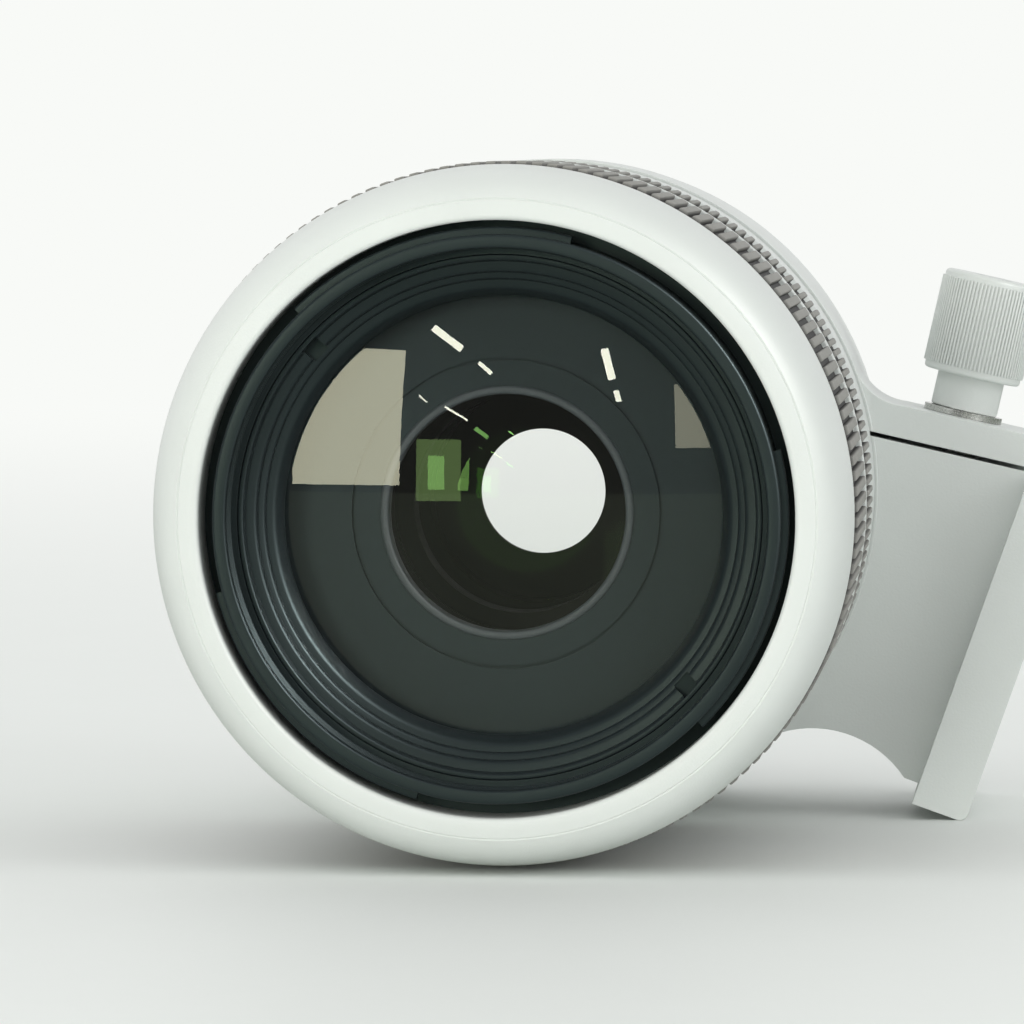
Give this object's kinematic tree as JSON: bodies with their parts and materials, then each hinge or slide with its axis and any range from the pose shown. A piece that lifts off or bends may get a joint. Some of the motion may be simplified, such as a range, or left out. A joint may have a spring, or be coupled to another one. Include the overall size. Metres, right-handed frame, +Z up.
{
  "type": "camera zoom lens",
  "caption": "Off-white telephoto zoom lens with ribbed zoom and focus rings, extending front barrel, bayonet mount and a turning tripod collar clamped by a knurled knob.",
  "frame": {"origin": "on the optical axis, in the plane of the camera flange", "axes": "+Y along the optical axis out of the camera mount, so the front faces -Y; +Z up as the lens lies on its collar and its collar foot; +X to the side of the collar foot"},
  "size_m": [0.1166, 0.147, 0.0892],
  "materials": {
    "white_paint": "off-white satin paint",
    "black_metal": "black anodised",
    "dark_metal": "dark anodised",
    "black_plastic": "matt black",
    "grip_rubber": "ribbed, dusty",
    "lens_glass": "coated, clear",
    "mount_steel": "plated, fine turned",
    "steel": "bare",
    "brass": "bare",
    "board": "circuit board"
  },
  "bodies": {
    "lens_body": {"rear_barrel": "white_paint", "guide_barrel": "dark_metal", "middle_ring": "black_metal", "inner_barrel": "black_metal", "guide_rods": "steel", "iris_housing": "black_plastic", "stabiliser_base": "board", "rear_cell": "black_metal", "rear_element": "lens_glass", "bayonet_mount": "mount_steel", "mount_screws": "steel", "mount_gasket": "grip_rubber", "contact_block": "black_plastic", "contact_pins": "brass", "circuit_board": "board", "focus_motor": "brass", "distance_window": "lens_glass", "switch_panel": "black_plastic"},
    "front_group": {"front_cowl": "white_paint", "filter_ring": "black_metal", "front_retaining_ring": "black_metal", "front_element": "lens_glass", "front_cell": "black_metal", "extension_tube": "white_paint", "cam_rollers": "brass"},
    "zoom_ring": {"zoom_sleeve": "white_paint", "zoom_grip": "grip_rubber", "cam_tube": "dark_metal", "zoom_key": "steel"},
    "zoom_group": {"variator_cell": "black_metal", "variator_element": "lens_glass"},
    "focus_ring": {"focus_sleeve": "dark_metal", "focus_grip": "grip_rubber"},
    "focus_group": {"focus_cell": "black_metal", "focus_element": "lens_glass"},
    "distance_scale": {"scale_drum": "black_plastic"},
    "stabiliser_side": {"stabiliser_frame": "dark_metal"},
    "stabiliser_lift": {"stabiliser_cell": "black_metal", "stabiliser_element": "lens_glass"},
    "iris_drive": {"iris_drive_ring": "black_plastic"},
    "focus_mode": {"focus_switch": "black_plastic"},
    "stabiliser_mode": {"stabiliser_switch": "black_plastic"},
    "panning_mode": {"mode_switch": "black_plastic"},
    "collar": {"collar_foot": "white_paint", "hinge_pin": "steel", "socket_insert": "steel"},
    "strap": {"collar_strap": "white_paint"},
    "clamp_lift": {"clamp_washer": "steel"},
    "clamp": {"clamp_knob": "white_paint", "clamp_screw": "steel"},
    "blade_1": {"iris_blade_1": "black_plastic"},
    "blade_2": {"iris_blade_2": "black_plastic"},
    "blade_3": {"iris_blade_3": "black_plastic"},
    "blade_4": {"iris_blade_4": "black_plastic"},
    "blade_5": {"iris_blade_5": "black_plastic"},
    "blade_6": {"iris_blade_6": "black_plastic"},
    "blade_7": {"iris_blade_7": "black_plastic"},
    "blade_8": {"iris_blade_8": "black_plastic"}
  },
  "joints": [
    {"name": "zoom_turn", "type": "hinge", "parent": "lens_body", "child": "zoom_ring", "pos_m": [0, 0, 0], "axis": [0, -1, 0], "range_deg": [0, 85]},
    {"name": "front_extension", "type": "slide", "parent": "lens_body", "child": "front_group", "axis": [0, -1, 0], "range_m": [0, 0.04802]},
    {"name": "zoom_group_travel", "type": "slide", "parent": "lens_body", "child": "zoom_group", "axis": [0, -1, 0], "range_m": [0, 0.01201]},
    {"name": "focus_turn", "type": "hinge", "parent": "lens_body", "child": "focus_ring", "pos_m": [0, 0, 0], "axis": [0, -1, 0], "range_deg": [0, 110]},
    {"name": "focus_group_travel", "type": "slide", "parent": "lens_body", "child": "focus_group", "axis": [0, -1, 0], "range_m": [0, 0.008]},
    {"name": "scale_turn", "type": "hinge", "parent": "lens_body", "child": "distance_scale", "pos_m": [0, 0, 0], "axis": [0, -1, 0], "range_deg": [0, 80.04]},
    {"name": "stabiliser_x", "type": "slide", "parent": "lens_body", "child": "stabiliser_side", "axis": [1, 0, 0], "range_m": [-0.0006, 0.0006]},
    {"name": "stabiliser_z", "type": "slide", "parent": "stabiliser_side", "child": "stabiliser_lift", "axis": [0, 0, 1], "range_m": [-0.0006, 0.0006]},
    {"name": "iris_turn", "type": "hinge", "parent": "lens_body", "child": "iris_drive", "pos_m": [0, 0, 0], "axis": [0, -1, 0], "range_deg": [0, 30]},
    {"name": "focus_switch_slide", "type": "slide", "parent": "lens_body", "child": "focus_mode", "axis": [0, -1, 0], "range_m": [0, 0.003]},
    {"name": "stabiliser_switch_slide", "type": "slide", "parent": "lens_body", "child": "stabiliser_mode", "axis": [0, -1, 0], "range_m": [0, 0.003]},
    {"name": "mode_switch_slide", "type": "slide", "parent": "lens_body", "child": "panning_mode", "axis": [0, -1, 0], "range_m": [0, 0.003]},
    {"name": "collar_turn", "type": "hinge", "parent": "lens_body", "child": "collar", "pos_m": [0, 0, 0], "axis": [0, -1, 0], "continuous": true},
    {"name": "strap_open", "type": "hinge", "parent": "collar", "child": "strap", "pos_m": [-0.03847, -0.04, 0.02611], "axis": [0, -1, 0], "range_deg": [0, 40]},
    {"name": "clamp_rise", "type": "slide", "parent": "strap", "child": "clamp_lift", "axis": [0.2223, 0, 0.975], "range_m": [0, 0.0024]},
    {"name": "clamp_turn", "type": "hinge", "parent": "clamp_lift", "child": "clamp", "pos_m": [0.05478, -0.04, 0.00485], "axis": [0.2223, 0, 0.975], "range_deg": [0, 1080]},
    {"name": "blade_1_swing", "type": "hinge", "parent": "lens_body", "child": "blade_1", "pos_m": [0.01414, -0.06, 0.01414], "axis": [0, -1, 0], "range_deg": [0, 18.01]},
    {"name": "blade_2_swing", "type": "hinge", "parent": "lens_body", "child": "blade_2", "pos_m": [0, -0.06, 0.02], "axis": [0, -1, 0], "range_deg": [0, 18.01]},
    {"name": "blade_3_swing", "type": "hinge", "parent": "lens_body", "child": "blade_3", "pos_m": [-0.01414, -0.06, 0.01414], "axis": [0, -1, 0], "range_deg": [0, 18.01]},
    {"name": "blade_4_swing", "type": "hinge", "parent": "lens_body", "child": "blade_4", "pos_m": [-0.02, -0.06, 0], "axis": [0, -1, 0], "range_deg": [0, 18.01]},
    {"name": "blade_5_swing", "type": "hinge", "parent": "lens_body", "child": "blade_5", "pos_m": [-0.01414, -0.06, -0.01414], "axis": [0, -1, 0], "range_deg": [0, 18.01]},
    {"name": "blade_6_swing", "type": "hinge", "parent": "lens_body", "child": "blade_6", "pos_m": [0, -0.06, -0.02], "axis": [0, -1, 0], "range_deg": [0, 18.01]},
    {"name": "blade_7_swing", "type": "hinge", "parent": "lens_body", "child": "blade_7", "pos_m": [0.01414, -0.06, -0.01414], "axis": [0, -1, 0], "range_deg": [0, 18.01]},
    {"name": "blade_8_swing", "type": "hinge", "parent": "lens_body", "child": "blade_8", "pos_m": [0.02, -0.06, 0], "axis": [0, -1, 0], "range_deg": [0, 18.01]}
  ],
  "couplings": [
    {"joint": "front_extension", "follows": "zoom_turn", "m_per_rad": 0.032355},
    {"joint": "zoom_group_travel", "follows": "zoom_turn", "m_per_rad": 0.0080888},
    {"joint": "focus_group_travel", "follows": "focus_turn", "m_per_rad": 0.004167},
    {"joint": "scale_turn", "follows": "focus_turn", "ratio": 0.72727},
    {"joint": "clamp_rise", "follows": "clamp_turn", "m_per_rad": 0.00012732},
    {"joint": "blade_1_swing", "follows": "iris_turn", "ratio": 0.6},
    {"joint": "blade_2_swing", "follows": "iris_turn", "ratio": 0.6},
    {"joint": "blade_3_swing", "follows": "iris_turn", "ratio": 0.6},
    {"joint": "blade_4_swing", "follows": "iris_turn", "ratio": 0.6},
    {"joint": "blade_5_swing", "follows": "iris_turn", "ratio": 0.6},
    {"joint": "blade_6_swing", "follows": "iris_turn", "ratio": 0.6},
    {"joint": "blade_7_swing", "follows": "iris_turn", "ratio": 0.6},
    {"joint": "blade_8_swing", "follows": "iris_turn", "ratio": 0.6}
  ]
}
